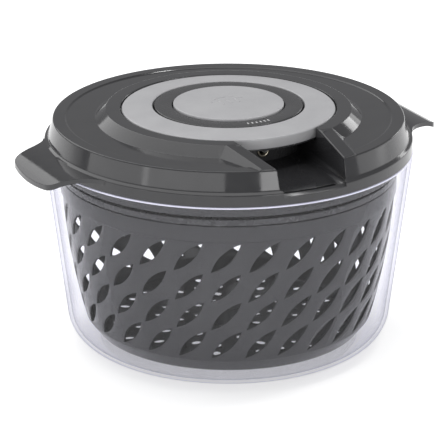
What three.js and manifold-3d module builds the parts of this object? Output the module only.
// Salad spinner with a pull ring: a clear bowl, a basket that turns on a peg in the bowl, and a lid that
// holds a cord reel with its return spring, a ratchet drive and a stop button.
// Millimetres, +Z up. The origin is under the middle of the bowl, on the table. The finger notch in the lid
// faces -Y and the lid's two ears lie along X.
import * as THREE from "three";
import { mergeVertices } from "three/addons/utils/BufferGeometryUtils.js";
import Module from "manifold-3d";

const wasm = await Module();
wasm.setup();

// Clearances and facets
const GAP = 0.3; // between pieces that touch
const CUT = 1; // how far a cutter passes the face that it cuts
const LARGE = 40; // facets round the bowl and lid
const MEDIUM = 32; // facets round the mechanism
const SMALL = 14;

// Bowl
const RIM_RADIUS = 125;
const RIM_HEIGHT = 135;
const BOWL_WALL = 2.5;
const BOWL_LEAN = 7.18; // degrees that the wall leans outwards
const BOWL_CORNER = 22; // radius between wall and base
const PEG_RADIUS = 4;
const PEG_HEIGHT = 14;

// Basket
const BASKET_RIM_RADIUS = 114;
const BASKET_RIM_HEIGHT = 118.3;
const BASKET_WALL = 2;
const BASKET_UNDERSIDE = 8;
const BASKET_COLUMNS = 28;
const FIRST_COLUMN = -2.2; // degrees
const ROW_HEIGHTS = [30.5, 52.8, 73.7, 95.3];
const SLOT_LENGTH = 28;
const SLOT_WIDTH = 7.5;
const SLOT_TILT = 46;
const FLOOR_HOLES = [[21, 8], [34, 14], [48, 20], [62, 26], [76, 32]]; // radius and number
const BUSH_RADIUS = 7;
const BUSH_TOP = 16.6;

// Lid
const LID_WALL = 2.2;
const FLANGE_BOTTOM = RIM_HEIGHT + GAP;
const FLANGE_TOP = 143.2;
const CREASE_HEIGHT = 157.3; // top of the outer wall
const TRAY_HEIGHT = 156.5;
const PLATEAU_HEIGHT = 163;
const BEVEL_TOP = 82.5; // radius where the plateau ends
const BEVEL_FOOT = 90;
const CREASE_RADIUS = 118.3;
const CHANNEL_FLOOR = 153.5;
const CHANNEL_RADIUS = 73;
const SKIRT_BOTTOM = 125.5;
const EAR_REACH = 148;
const NOTCH_HALF_WIDTH = 30.4; // at NOTCH_STATION
const NOTCH_STATION = 69.7; // distance from the axis
const NOTCH_TAPER = 0.126; // half width lost for each millimetre outwards
const NOTCH_FLOOR = 139; // at the housing
const NOTCH_SLOPE = 1.6; // degrees that the floor rises outwards
const NOTCH_FILLET = 5;
const NOTCH_END = 122;
const LIP_TOP = 142.3; // top of the lid's edge in front of the notch
const RAIL_WIDTH = 9; // flat top of the raised lip that runs out along each side of the notch

// Housing, stop button and pull ring
const HOUSING_RADIUS = 50;
const HOUSING_TOP = 164.6;
const WEB_TOP = 157.5;
const WEB_BOTTOM = 155.5;
const FOOT_RADIUS = 57.5;
const FOOT_TOP = 135.8;
const COVER_TOP = 133.5;
const COVER_SCREW_CIRCLE = 54;
const BUTTON_RADIUS = 37.3;
const BUTTON_TOP = 165.9;
const BUTTON_UNDERSIDE = 163.9;
const LEG_ANGLES = [90, 210, 330];
const LEG_INNER = 33;
const LEG_OUTER = 35.3;
const RING_OUTER = 72;
const RING_INNER = 51.3;
const RING_BOTTOM = 155.5;
const EYELET_HEIGHT = 146.8;
const CORD_RADIUS = 1.1;
const CORD_ANCHOR = 57; // distance of the knot from the axis

// Reel, drive and axle
const AXLE_RADIUS = 3;
const AXLE_BOTTOM = 128;
const BUSH_OUTER = 5;
const REEL_BOTTOM = 142;
const REEL_TOP = 152;
const REEL_RADIUS = 30;
const DRUM_RADIUS = 21.5;
const CHAMBER_RADIUS = 19.5;
const PAWL_CIRCLE = 17;
const PAWL_ANGLES = [0, 120, 240];
const PAWL_SWING = 13; // degrees between rest and full depth in a tooth gap
const TEETH = 24;
const TOOTH_TIP = 24.4;
const TOOTH_ROOT = 27.2;
const STEEP_FACE = 44.5; // degrees, where one tooth's steep face lies at rest
const HUB_FLOOR = 136.6;
const DRIVE_SCREW_CIRCLE = 12.6;
const TAB_ANGLES = [30, 120, 210, 300];
const RIB_OFFSET = 5; // degrees from a tab to the rib on each side of it

const FINISHES = {
  clear: { color: 0xdfe2f0, roughness: 0.05, metalness: 0, transparent: true, opacity: 0.35 },
  darkGloss: { color: 0x4b4a4e, roughness: 0.15, metalness: 0 },
  darkSatin: { color: 0x55565a, roughness: 0.45, metalness: 0 },
  lightGrey: { color: 0xb3b3b4, roughness: 0.4, metalness: 0 },
  white: { color: 0xe8e8e4, roughness: 0.5, metalness: 0 },
  steel: { color: 0xa8aaad, roughness: 0.3, metalness: 1 },
  brass: { color: 0xb59a5a, roughness: 0.3, metalness: 1 },
  cord: { color: 0xdadad6, roughness: 0.9, metalness: 0 },
};

const radians = THREE.MathUtils.degToRad;

function polar(radius, degrees) {
  return new THREE.Vector2(radius * Math.cos(radians(degrees)), radius * Math.sin(radians(degrees)));
}

// Points of an arc round (x, y), both ends included.
function arc(x, y, radius, from, to, steps) {
  return Array.from({ length: steps + 1 }, (_, i) => {
    const point = polar(radius, from + ((to - from) * i) / steps);
    return [x + point.x, y + point.y];
  });
}

function solid(geometry) {
  geometry.deleteAttribute("normal");
  geometry.deleteAttribute("uv");
  const merged = mergeVertices(geometry, 1e-3);
  const index = merged.getIndex().array;
  const triangles = [];
  for (let i = 0; i < index.length; i += 3) {
    const corners = [index[i], index[i + 1], index[i + 2]];
    if (new Set(corners).size === 3) triangles.push(...corners);
  }
  return new wasm.Manifold(
    new wasm.Mesh({
      numProp: 3,
      vertProperties: new Float32Array(merged.getAttribute("position").array),
      triVerts: new Uint32Array(triangles),
    }),
  );
}

// A profile of [radius, height] points, anticlockwise, turned about Z.
function lathe(profile, facets = MEDIUM) {
  const points = profile.map(([radius, height]) => new THREE.Vector2(radius, height));
  if (profile[0][0] > 0) points.push(points[0].clone());
  return solid(new THREE.LatheGeometry(points, facets).rotateX(Math.PI / 2));
}

function tube(inner, outer, bottom, top, facets = MEDIUM) {
  return lathe([[inner, bottom], [outer, bottom], [outer, top], [inner, top]], facets);
}

function rod(radius, bottom, top, x = 0, y = 0, facets = SMALL) {
  return lathe([[0, bottom], [radius, bottom], [radius, top], [0, top]], facets).translate([x, y, 0]);
}

function plate(outline, bottom, top) {
  const shape = new THREE.Shape(outline.map(([x, y]) => new THREE.Vector2(x, y)));
  const geometry = new THREE.ExtrudeGeometry(shape, { depth: top - bottom, bevelEnabled: false });
  return solid(geometry.translate(0, 0, bottom));
}

// A block between two radii, spread evenly each side of an angle.
function sector(inner, outer, angle, spread, bottom, top) {
  const far = arc(0, 0, outer, angle - spread, angle + spread, 4);
  const near = arc(0, 0, inner, angle + spread, angle - spread, 4);
  return plate([...far, ...near], bottom, top);
}

function join(solids) {
  return solids.reduce((sum, next) => sum.add(next));
}

function screw(headRadius, headBottom, headTop, shaftRadius, tip, x, y) {
  const profile = [[0, headBottom], [headRadius, headBottom], [headRadius, headTop]];
  profile.push([shaftRadius, headTop], [shaftRadius, tip - 1], [0, tip]);
  return lathe(profile, 12).translate([x, y, 0]);
}

const group = new THREE.Group();
group.name = "salad_spinner";

function add(name, body, finish) {
  const { vertProperties, triVerts } = body.getMesh();
  const geometry = new THREE.BufferGeometry();
  geometry.setAttribute("position", new THREE.BufferAttribute(vertProperties, 3));
  geometry.setIndex(new THREE.BufferAttribute(triVerts, 1));
  geometry.computeVertexNormals();
  const mesh = new THREE.Mesh(geometry, new THREE.MeshStandardMaterial(finish));
  mesh.name = name;
  group.add(mesh);
}

// Bowl: a leaning wall on a flat base, with a peg in the middle that carries the basket.
function makeBowl() {
  const lean = Math.tan(radians(BOWL_LEAN));
  const cornerTop = BOWL_CORNER * (1 - Math.sin(radians(BOWL_LEAN)));
  const wallRadius = RIM_RADIUS - lean * (RIM_HEIGHT - cornerTop);
  const baseRadius = wallRadius - BOWL_CORNER * Math.cos(radians(BOWL_LEAN));
  const inner = RIM_RADIUS - BOWL_WALL;
  return lathe([
    [0, 0],
    ...arc(baseRadius, BOWL_CORNER, BOWL_CORNER, -90, -BOWL_LEAN, 4),
    [RIM_RADIUS, RIM_HEIGHT - 0.6],
    [RIM_RADIUS - 0.6, RIM_HEIGHT],
    [inner + 0.6, RIM_HEIGHT],
    [inner, RIM_HEIGHT - 0.6],
    ...arc(baseRadius, BOWL_CORNER, BOWL_CORNER - BOWL_WALL, -BOWL_LEAN, -90, 4),
    [9, BOWL_WALL],
    [PEG_RADIUS, 6],
    [PEG_RADIUS, PEG_HEIGHT - 0.8],
    [PEG_RADIUS - 0.8, PEG_HEIGHT],
    [0, PEG_HEIGHT],
  ], LARGE);
}

function makePivotBush() {
  const inside = PEG_RADIUS + GAP + 0.1;
  return lathe([
    [0, PEG_HEIGHT + GAP],
    [inside, PEG_HEIGHT + GAP],
    [inside, BASKET_UNDERSIDE + 0.6],
    [BUSH_RADIUS, BASKET_UNDERSIDE + 0.6],
    [BUSH_RADIUS, BUSH_TOP - 1],
    [BUSH_RADIUS - 1, BUSH_TOP],
    [0, BUSH_TOP],
  ], 24);
}

// A pointed slot of the given length and width that cuts along +Z of its own frame.
function slotCutter(length, width, depth) {
  const outline = [[length / 2, 0], [0, width / 2], [-length / 2, 0], [0, -width / 2]];
  return plate(outline, 0, depth);
}

// Basket: a round wall with slanted slots, a slotted floor and a socket that sits on the pivot bush.
function makeBasket() {
  const rim = BASKET_RIM_RADIUS;
  const top = BASKET_RIM_HEIGHT;
  const under = BASKET_UNDERSIDE;
  const floor = under + BASKET_WALL;
  const shell = lathe([
    [0, BUSH_TOP + GAP],
    [BUSH_RADIUS + 0.4, BUSH_TOP + GAP],
    [BUSH_RADIUS + 0.4, under],
    [90, under],
    [98, 18],
    [103.9, 41.6],
    [107.9, 63.2],
    [110.5, 84.5],
    [112.8, 106],
    [rim, 107.3],
    [rim, top],
    [rim - BASKET_WALL, top],
    [rim - BASKET_WALL, 107.8],
    [110.8, 106.4],
    [108.5, 84.5],
    [105.9, 63.2],
    [101.9, 41.6],
    [96, 18.6],
    [89, floor],
    [12, floor],
    [10, BUSH_TOP + 2],
    [9, BUSH_TOP + 3],
    [0, BUSH_TOP + 3],
  ], BASKET_COLUMNS).rotate([0, 0, 90 + FIRST_COLUMN + 180 / BASKET_COLUMNS]);
  const upright = new THREE.Matrix4();
  const wallSlots = [];
  for (let column = 0; column < BASKET_COLUMNS; column += 1) {
    const angle = FIRST_COLUMN + (360 / BASKET_COLUMNS) * column;
    const outwards = polar(1, angle);
    for (const height of ROW_HEIGHTS) {
      upright.makeBasis(
        new THREE.Vector3(-outwards.y, outwards.x, 0),
        new THREE.Vector3(0, 0, 1),
        new THREE.Vector3(outwards.x, outwards.y, 0),
      );
      upright.setPosition(outwards.x * 90, outwards.y * 90, height);
      const cutter = slotCutter(SLOT_LENGTH, SLOT_WIDTH, 30).rotate([0, 0, SLOT_TILT]);
      wallSlots.push(cutter.transform(upright.elements));
    }
  }
  const floorSlots = [];
  for (const [radius, count] of FLOOR_HOLES) {
    for (let i = 0; i < count; i += 1) {
      const cutter = slotCutter(9.6, 7, 4).translate([radius, 0, under - CUT]);
      floorSlots.push(cutter.rotate([0, 0, (360 / count) * i]));
    }
  }
  const ribs = [];
  for (const tab of TAB_ANGLES) {
    for (const side of [-RIB_OFFSET, RIB_OFFSET]) {
      ribs.push(sector(rim - 6, rim - 1.6, tab + side, 0.8, 108.8, 117.5));
    }
  }
  return shell.add(join(ribs)).subtract(join(wallSlots)).subtract(join(floorSlots));
}

// The notch's space, grown by the wall thickness to give the outside of its walls. The notch tapers outwards,
// its floor rises outwards and it stops just inside the lid's edge.
function notchSpace(grow) {
  const start = 28;
  const end = 140;
  const shape = new THREE.Shape([
    new THREE.Vector2(-notchHalfWidth(start), -start),
    new THREE.Vector2(-notchHalfWidth(end), -end),
    new THREE.Vector2(notchHalfWidth(end), -end),
    new THREE.Vector2(notchHalfWidth(start), -start),
  ]);
  const geometry = new THREE.ExtrudeGeometry(shape, {
    depth: 40,
    bevelThickness: NOTCH_FILLET,
    bevelSize: NOTCH_FILLET,
    bevelOffset: grow - NOTCH_FILLET,
    bevelSegments: 2,
  });
  geometry.translate(0, HOUSING_RADIUS, NOTCH_FILLET);
  geometry.rotateX(-radians(NOTCH_SLOPE));
  geometry.translate(0, -HOUSING_RADIUS, NOTCH_FLOOR - grow);
  return solid(geometry).intersect(rod(NOTCH_END + grow, 100, 200, 0, 0, LARGE));
}

function notchHalfWidth(distance) {
  return NOTCH_HALF_WIDTH + (NOTCH_STATION - distance) * NOTCH_TAPER;
}

// The raised lip along the notch's +X side: it carries the plateau's bevel outwards and falls to the crease.
function makeRail() {
  const depth = PLATEAU_HEIGHT - TRAY_HEIGHT + 1;
  const foot = RAIL_WIDTH + (depth * (BEVEL_FOOT - BEVEL_TOP)) / (PLATEAU_HEIGHT - TRAY_HEIGHT);
  const length = CREASE_RADIUS - CHANNEL_RADIUS;
  const section = [[-8, -depth], [foot, -depth], [RAIL_WIDTH, 0], [-8, 0]];
  const fall = Math.atan((PLATEAU_HEIGHT - CREASE_HEIGHT) / length);
  const rail = plate(section, 0, length + 2)
    .rotate([90, 0, 0])
    .rotate([(fall * 180) / Math.PI, 0, 0])
    .rotate([0, 0, -(Math.atan(NOTCH_TAPER) * 180) / Math.PI])
    .translate([notchHalfWidth(CHANNEL_RADIUS), -CHANNEL_RADIUS, PLATEAU_HEIGHT]);
  const crease = rod(CREASE_RADIUS, 100, 170, 0, 0, LARGE);
  return rail.intersect(crease).subtract(rod(CHANNEL_RADIUS + 0.6, 100, 170, 0, 0, LARGE));
}

// One ear, along +X: a sheet that droops outwards, trimmed to a round outline with flowing roots.
function makeEar() {
  const drop = [[112, 143], [125, 143.1], [136, 141.8], [144, 138.9], [EAR_REACH + 0.5, 135.6]];
  const underside = [[EAR_REACH + 0.5, 132.4], [142.6, 136], [135, 138.7], [124, 140.1], [112, 140.1]];
  const section = [...underside.reverse(), ...drop.reverse()];
  const shape = new THREE.Shape(section.map(([x, z]) => new THREE.Vector2(x, z)));
  const sheet = new THREE.ExtrudeGeometry(shape, { depth: 110, bevelEnabled: false });
  sheet.rotateX(Math.PI / 2).translate(0, 55, 0);
  const root = new THREE.Vector2(115.1, 48.8);
  const waist = new THREE.CubicBezierCurve(
    root,
    new THREE.Vector2(119.8, 37.8),
    new THREE.Vector2(134, 35),
    new THREE.Vector2(141.5, 31.5),
  ).getPoints(6);
  const corner = new THREE.QuadraticBezierCurve(
    waist.at(-1),
    new THREE.Vector2(145.5, 29),
    polar(EAR_REACH, 9),
  ).getPoints(3);
  const tip = arc(0, 0, EAR_REACH, 9, -9, 6);
  const side = [...waist, ...corner.slice(1, -1)].map((point) => [point.x, point.y]);
  const outline = [[108, 48.8], [108, -48.8]];
  outline.push(...side.map(([x, y]) => [x, -y]), ...tip.reverse(), ...side.reverse());
  return solid(sheet).intersect(plate(outline, 120, 160));
}

// Lid: a thin shell with a raised lip round the ring's channel, walls round the notch, a slot at the notch's
// mouth, and four posts that take the cover screws.
function makeLidShell() {
  const outside = lathe([
    [0, SKIRT_BOTTOM],
    [116, SKIRT_BOTTOM],
    [116, 130.2],
    [120.9, 131.6],
    [121.2, FLANGE_BOTTOM],
    [124.5, FLANGE_BOTTOM],
    [124.2, 142.4],
    [123.5, FLANGE_TOP],
    [121.6, 144.6],
    [CREASE_RADIUS, CREASE_HEIGHT],
    [110.2, CREASE_HEIGHT],
    [109.2, TRAY_HEIGHT],
    [BEVEL_FOOT, TRAY_HEIGHT],
    [BEVEL_TOP, PLATEAU_HEIGHT],
    [CHANNEL_RADIUS + 0.6, PLATEAU_HEIGHT],
    [CHANNEL_RADIUS, PLATEAU_HEIGHT - 0.6],
    [CHANNEL_RADIUS, CHANNEL_FLOOR],
    [0, CHANNEL_FLOOR],
  ], LARGE);
  const inside = lathe([
    [0, SKIRT_BOTTOM - CUT],
    [116 - LID_WALL, SKIRT_BOTTOM - CUT],
    [116 - LID_WALL, 131.5],
    [118.2, 134.5],
    [121.3, 142],
    [119.4, 144.2],
    [116.3, CREASE_HEIGHT - LID_WALL],
    [110.9, CREASE_HEIGHT - LID_WALL],
    [109.9, TRAY_HEIGHT - LID_WALL],
    [BEVEL_FOOT - 0.8, TRAY_HEIGHT - LID_WALL],
    [BEVEL_TOP - 0.8, PLATEAU_HEIGHT - LID_WALL],
    [CHANNEL_RADIUS + LID_WALL, PLATEAU_HEIGHT - LID_WALL],
    [CHANNEL_RADIUS + LID_WALL, CHANNEL_FLOOR - LID_WALL],
    [0, CHANNEL_FLOOR - LID_WALL],
  ], LARGE);
  const ear = makeEar();
  const ears = ear.add(ear.rotate([0, 0, 180]));
  const rail = makeRail();
  const rails = rail.add(rail.mirror([1, 0, 0]));
  const hollow = inside.add(rails.translate([0, 0, -LID_WALL])).subtract(notchSpace(LID_WALL));
  const hole = rod(HOUSING_RADIUS + 0.5, 120, 170, 0, 0, LARGE);
  const slot = sector(117.8, 121.4, -90, 9, 129, 150);
  const mouth = sector(NOTCH_END - CUT, RIM_RADIUS + CUT, -90, 10.6, LIP_TOP, 150);
  const cuts = join([notchSpace(0), hole, slot, mouth]);
  let shell = outside.add(ears).add(rails).subtract(hollow).subtract(cuts);
  for (const { x, y } of coverScrewPlaces()) {
    const postTop = CHANNEL_FLOOR - LID_WALL / 2;
    const post = rod(3.5, FOOT_TOP + GAP, postTop, x, y).subtract(rod(1.8, FOOT_TOP, 146, x, y));
    shell = shell.add(post);
  }
  return shell;
}

function coverScrewPlaces() {
  return [45, 135, 225, 315].map((angle) => polar(COVER_SCREW_CIRCLE, angle));
}

function driveScrewPlaces() {
  return [30, 150, 270].map((angle) => polar(DRIVE_SCREW_CIRCLE, angle));
}

// Housing: the boss in the middle of the lid, with the button's well above a web and the reel below it.
function makeHousing() {
  const wall = HOUSING_RADIUS - LID_WALL;
  const well = BUTTON_RADIUS + 0.8;
  const bore = AXLE_RADIUS + 0.4;
  const body = lathe([
    [wall, COVER_TOP + GAP],
    [FOOT_RADIUS, COVER_TOP + GAP],
    [FOOT_RADIUS, FOOT_TOP],
    [HOUSING_RADIUS, FOOT_TOP],
    [HOUSING_RADIUS, HOUSING_TOP - 0.8],
    [HOUSING_RADIUS - 0.8, HOUSING_TOP],
    [well + 0.6, HOUSING_TOP],
    [well, HOUSING_TOP - 0.6],
    [well, WEB_TOP],
    [bore, WEB_TOP],
    [bore, WEB_BOTTOM - 1.1],
    [7, WEB_BOTTOM - 1.1],
    [7, WEB_BOTTOM],
    [well + 1.8, WEB_BOTTOM],
    [well + 1.8, HOUSING_TOP - LID_WALL],
    [wall, HOUSING_TOP - LID_WALL],
  ]);
  const legSlots = LEG_ANGLES.map((angle) => {
    return sector(LEG_INNER - 0.4, LEG_OUTER + 0.7, angle, 8, WEB_BOTTOM - CUT, WEB_TOP + CUT);
  });
  const screwHoles = coverScrewPlaces().map(({ x, y }) => rod(1.8, 130, 140, x, y));
  const eyeletHole = rod(3.9, 44, 55).rotate([90, 0, 0]).translate([0, 0, EYELET_HEIGHT]);
  return body.subtract(join([...legSlots, ...screwHoles, eyeletHole]));
}

function makeMechanismCover() {
  const holes = coverScrewPlaces().map(({ x, y }) => rod(1.8, 130, 140, x, y));
  return tube(18.3, FOOT_RADIUS, COVER_TOP - 2, COVER_TOP).subtract(join(holes));
}

// Eyelet: a short tube with a flange outside the housing wall, along -Y.
function makeEyelet() {
  const face = HOUSING_RADIUS + GAP;
  return lathe([
    [2.9, face - 3.1],
    [3.6, face - 3.1],
    [3.6, face],
    [4.4, face],
    [4.4, face + 0.5],
    [4, face + 0.9],
    [3.1, face + 0.9],
    [2.9, face + 0.6],
  ], SMALL).rotate([90, 0, 0]).translate([0, 0, EYELET_HEIGHT]);
}

function makeButton() {
  const cap = lathe([
    [0, BUTTON_UNDERSIDE],
    [BUTTON_RADIUS - 2.3, BUTTON_UNDERSIDE],
    [BUTTON_RADIUS - 2.3, BUTTON_UNDERSIDE - 2.9],
    [BUTTON_RADIUS, BUTTON_UNDERSIDE - 2.9],
    [BUTTON_RADIUS, BUTTON_TOP - 0.7],
    [BUTTON_RADIUS - 0.7, BUTTON_TOP],
    [20, BUTTON_TOP + 0.7],
    [0, BUTTON_TOP + 1],
  ]);
  const legs = LEG_ANGLES.map((angle) => {
    return sector(LEG_INNER, LEG_OUTER, angle, 6, 141.7, BUTTON_UNDERSIDE + 0.6);
  });
  return cap.add(join(legs));
}

class Helix extends THREE.Curve {
  constructor(radius, bottom, top, turns) {
    super();
    Object.assign(this, { radius, bottom, top, turns });
  }

  getPoint(t, target = new THREE.Vector3()) {
    const { x, y } = polar(this.radius, 360 * this.turns * t);
    return target.set(x, y, this.bottom + (this.top - this.bottom) * t);
  }
}

function wire(path, radius, sides, steps) {
  const section = new THREE.Shape(arc(0, 0, radius, 0, 360 - 360 / sides, sides - 1)
    .map(([x, y]) => new THREE.Vector2(x, y)));
  return solid(new THREE.ExtrudeGeometry(section, { extrudePath: path, steps, bevelEnabled: false }));
}

function makeButtonSpring() {
  return wire(new Helix(10.5, WEB_TOP + 1.1, BUTTON_UNDERSIDE - 1.1, 2.5), 0.7, 6, 36);
}

// Pull ring: a hollow ring, open below, whose top slopes gently outwards.
function makePullRing() {
  return lathe([
    [RING_OUTER - 2.4, RING_BOTTOM],
    [RING_OUTER, RING_BOTTOM],
    [RING_OUTER, 161.6],
    [RING_OUTER - 0.8, 162.7],
    [RING_OUTER - 2, 163.1],
    [60, 164.3],
    [RING_INNER + 1, HOUSING_TOP],
    [RING_INNER, HOUSING_TOP - 1],
    [RING_INNER, RING_BOTTOM],
    [RING_INNER + 2.2, RING_BOTTOM],
    [RING_INNER + 2.2, 161.8],
    [60, 161.8],
    [RING_OUTER - 2.4, 160.8],
  ]);
}

function makePullRingBase() {
  const bottom = CHANNEL_FLOOR + 0.4;
  const top = RING_BOTTOM - GAP;
  const cordHole = rod(1.6, bottom - CUT, top + CUT, 0, -CORD_ANCHOR);
  return tube(RING_INNER + 1.3, RING_OUTER - 1.4, bottom, top).subtract(cordHole);
}

// Pull cord: off the winding, through the eyelet and up into the ring.
function makePullCord() {
  const height = EYELET_HEIGHT + 0.2;
  const route = new THREE.CatmullRomCurve3([
    new THREE.Vector3(23.3, -16.3, height),
    new THREE.Vector3(12, -32.4, height),
    new THREE.Vector3(1.5, -45.6, EYELET_HEIGHT),
    new THREE.Vector3(0, -50.2, EYELET_HEIGHT),
    new THREE.Vector3(0, -53.6, EYELET_HEIGHT + 0.7),
    new THREE.Vector3(0, -56.2, EYELET_HEIGHT + 3.4),
    new THREE.Vector3(0, -CORD_ANCHOR, EYELET_HEIGHT + 6),
    new THREE.Vector3(0, -CORD_ANCHOR, RING_BOTTOM - 0.2),
  ]);
  return wire(route, CORD_RADIUS, 8, 24);
}

function makeKnot() {
  const radius = 2.6;
  const bottom = RING_BOTTOM + 0.1;
  return lathe(arc(0, bottom + radius, radius, -90, 90, 6), 12).translate([0, -CORD_ANCHOR, 0]);
}

function makeAxle() {
  return lathe([
    [0, 137],
    [1.5, 136],
    [1.5, AXLE_BOTTOM],
    [AXLE_RADIUS, AXLE_BOTTOM],
    [AXLE_RADIUS, WEB_TOP + GAP],
    [5.5, WEB_TOP + GAP],
    [5.5, 159.4],
    [0, 159.4],
  ], SMALL);
}

// Cord reel: a drum between two flanges, hollow for the return spring, with a pin for each pawl below.
function makeReel() {
  const bore = BUSH_OUTER + GAP;
  const body = lathe([
    [bore, REEL_BOTTOM],
    [REEL_RADIUS, REEL_BOTTOM],
    [REEL_RADIUS, REEL_BOTTOM + 1.5],
    [DRUM_RADIUS, REEL_BOTTOM + 1.5],
    [DRUM_RADIUS, REEL_TOP - 1.5],
    [REEL_RADIUS, REEL_TOP - 1.5],
    [REEL_RADIUS, REEL_TOP],
    [CHAMBER_RADIUS, REEL_TOP],
    [CHAMBER_RADIUS, REEL_BOTTOM + 1.8],
    [7.5, REEL_BOTTOM + 1.8],
    [7.5, REEL_BOTTOM + 2.6],
    [bore, REEL_BOTTOM + 2.6],
  ]);
  const pins = PAWL_ANGLES.map((angle) => {
    const { x, y } = polar(PAWL_CIRCLE, angle);
    return rod(1.6, HUB_FLOOR + 0.8, REEL_BOTTOM + 0.5, x, y, 12);
  });
  return body.add(join(pins));
}

function makeSpringCover() {
  const bore = BUSH_OUTER + GAP;
  const bottom = REEL_TOP + GAP;
  const profile = [[bore, bottom - 1.1], [7, bottom - 1.1], [7, bottom], [21, bottom]];
  profile.push([21, bottom + 1.3], [bore, bottom + 1.3]);
  return lathe(profile);
}

// Return spring: a flat strip wound in a spiral from the axle out to the drum.
function makeReturnSpring() {
  const turns = 5;
  const steps = 14 * turns;
  const inner = 4.1;
  const outer = 18.5;
  const halfThickness = 0.25;
  const edge = (side) => Array.from({ length: steps + 1 }, (_, i) => {
    const { x, y } = polar(inner + ((outer - inner) * i) / steps + side, (360 * turns * i) / steps);
    return [x, y];
  });
  return plate([...edge(halfThickness), ...edge(-halfThickness).reverse()], 145.2, 150.8);
}

// One pawl at its place: a round end on the reel's pin and an arm whose tip swings out into the teeth.
function makePawl(angle) {
  const swungOut = [[2.6, 16.5], [-0.2, 16.9], [-2.8, 4], ...arc(0, 0, 2.8, 180, 360, 6)];
  const arm = plate(swungOut, HUB_FLOOR + 1, REEL_BOTTOM - 0.5);
  const hole = rod(1.9, HUB_FLOOR, REEL_BOTTOM, 0, 0, 12);
  const retracted = arm.subtract(hole).rotate([0, 0, PAWL_SWING]);
  return retracted.translate([PAWL_CIRCLE, 0, 0]).rotate([0, 0, angle]);
}

// Drive hub: a neck through the cover, a brake flange, and a cup whose inside carries the ratchet teeth.
function makeDriveHub() {
  const bore = BUSH_OUTER + GAP;
  const cupTop = REEL_BOTTOM - GAP;
  const neck = 17;
  const body = lathe([
    [bore, AXLE_BOTTOM],
    [neck, AXLE_BOTTOM],
    [neck, COVER_TOP + 0.8],
    [36.5, COVER_TOP + 0.8],
    [36.5, COVER_TOP + 2.8],
    [29.2, COVER_TOP + 2.8],
    [29.2, cupTop],
    [bore, cupTop],
  ]);
  const pitch = 360 / TEETH;
  const teeth = [];
  for (let i = 0; i < TEETH; i += 1) {
    const steep = STEEP_FACE + pitch * i;
    for (const point of [polar(TOOTH_TIP, steep - pitch + 0.2), polar(TOOTH_ROOT, steep - 0.2)]) {
      teeth.push([point.x, point.y]);
    }
  }
  const screwHoles = driveScrewPlaces().map(({ x, y }) => rod(1.8, AXLE_BOTTOM - CUT, 133.5, x, y));
  return body.subtract(plate(teeth, HUB_FLOOR, cupTop + CUT)).subtract(join(screwHoles));
}

// Drive plate: a shallow dome over the basket, with tabs that catch the ribs inside the basket's rim.
function makeDrivePlate() {
  const top = AXLE_BOTTOM - GAP;
  const flangeTop = 123;
  const skirt = BASKET_RIM_HEIGHT + 0.4;
  const dome = lathe([
    [8.4, top - 2],
    [21.5, top - 2],
    [103, 121],
    [107.5, 120.4],
    [110.8, skirt],
    [BASKET_RIM_RADIUS, skirt],
    [BASKET_RIM_RADIUS, flangeTop],
    [104, flangeTop],
    [22, top],
    [8.4, top],
  ]);
  const tabs = TAB_ANGLES.map((angle) => sector(107.4, 110.4, angle, 2.6, 110.5, 121.5));
  const holes = driveScrewPlaces().map(({ x, y }) => rod(1.8, top - 3, top + CUT, x, y));
  return dome.add(join(tabs)).subtract(join(holes));
}

add("bowl", makeBowl(), FINISHES.clear);
add("basket_pivot_bush", makePivotBush(), FINISHES.white);
add("basket", makeBasket(), FINISHES.darkSatin);
add("lid_shell", makeLidShell(), FINISHES.darkGloss);
add("reel_housing", makeHousing(), FINISHES.darkSatin);
add("mechanism_cover", makeMechanismCover(), FINISHES.darkSatin);
add("cord_eyelet", makeEyelet(), FINISHES.brass);
add("stop_button", makeButton(), FINISHES.lightGrey);
add("button_spring", makeButtonSpring(), FINISHES.steel);
add("brake_ring", tube(31, 36, 139.6, 141.4), FINISHES.darkSatin);
add("pull_ring", makePullRing(), FINISHES.lightGrey);
add("pull_ring_base", makePullRingBase(), FINISHES.darkSatin);
add("pull_cord", makePullCord(), FINISHES.cord);
add("cord_knot", makeKnot(), FINISHES.cord);
add("main_axle", makeAxle(), FINISHES.steel);
add("cord_reel", makeReel(), FINISHES.white);
add("cord_winding", tube(DRUM_RADIUS + GAP, 27, 143.8, 150.2), FINISHES.cord);
add("spring_cover", makeSpringCover(), FINISHES.white);
add("return_spring", makeReturnSpring(), FINISHES.steel);
add("reel_bush_lower", tube(AXLE_RADIUS + GAP, BUSH_OUTER, 142.3, 144.5, SMALL), FINISHES.brass);
add("reel_bush_upper", tube(AXLE_RADIUS + GAP, BUSH_OUTER, 151.3, 153.6, SMALL), FINISHES.brass);
PAWL_ANGLES.forEach((angle, i) => add(`pawl_${i + 1}`, makePawl(angle), FINISHES.steel));
add("drive_hub", makeDriveHub(), FINISHES.white);
add("hub_bush", tube(AXLE_RADIUS + GAP, BUSH_OUTER, 128.3, 136.3, SMALL), FINISHES.brass);
add("drive_plate", makeDrivePlate(), FINISHES.darkSatin);
add("axle_washer", tube(1.6, 8, 126.4, AXLE_BOTTOM - GAP, SMALL), FINISHES.steel);
add("axle_screw", screw(3.2, 124, 126.1, 1.2, 135, 0, 0), FINISHES.steel);
coverScrewPlaces().forEach(({ x, y }, i) => {
  add(`cover_screw_${i + 1}`, screw(3.2, 129.4, 131.2, 1.5, 144, x, y), FINISHES.steel);
});
driveScrewPlaces().forEach(({ x, y }, i) => {
  add(`drive_screw_${i + 1}`, screw(2.8, 123.6, 125.4, 1.5, 132.5, x, y), FINISHES.steel);
});

export default group;
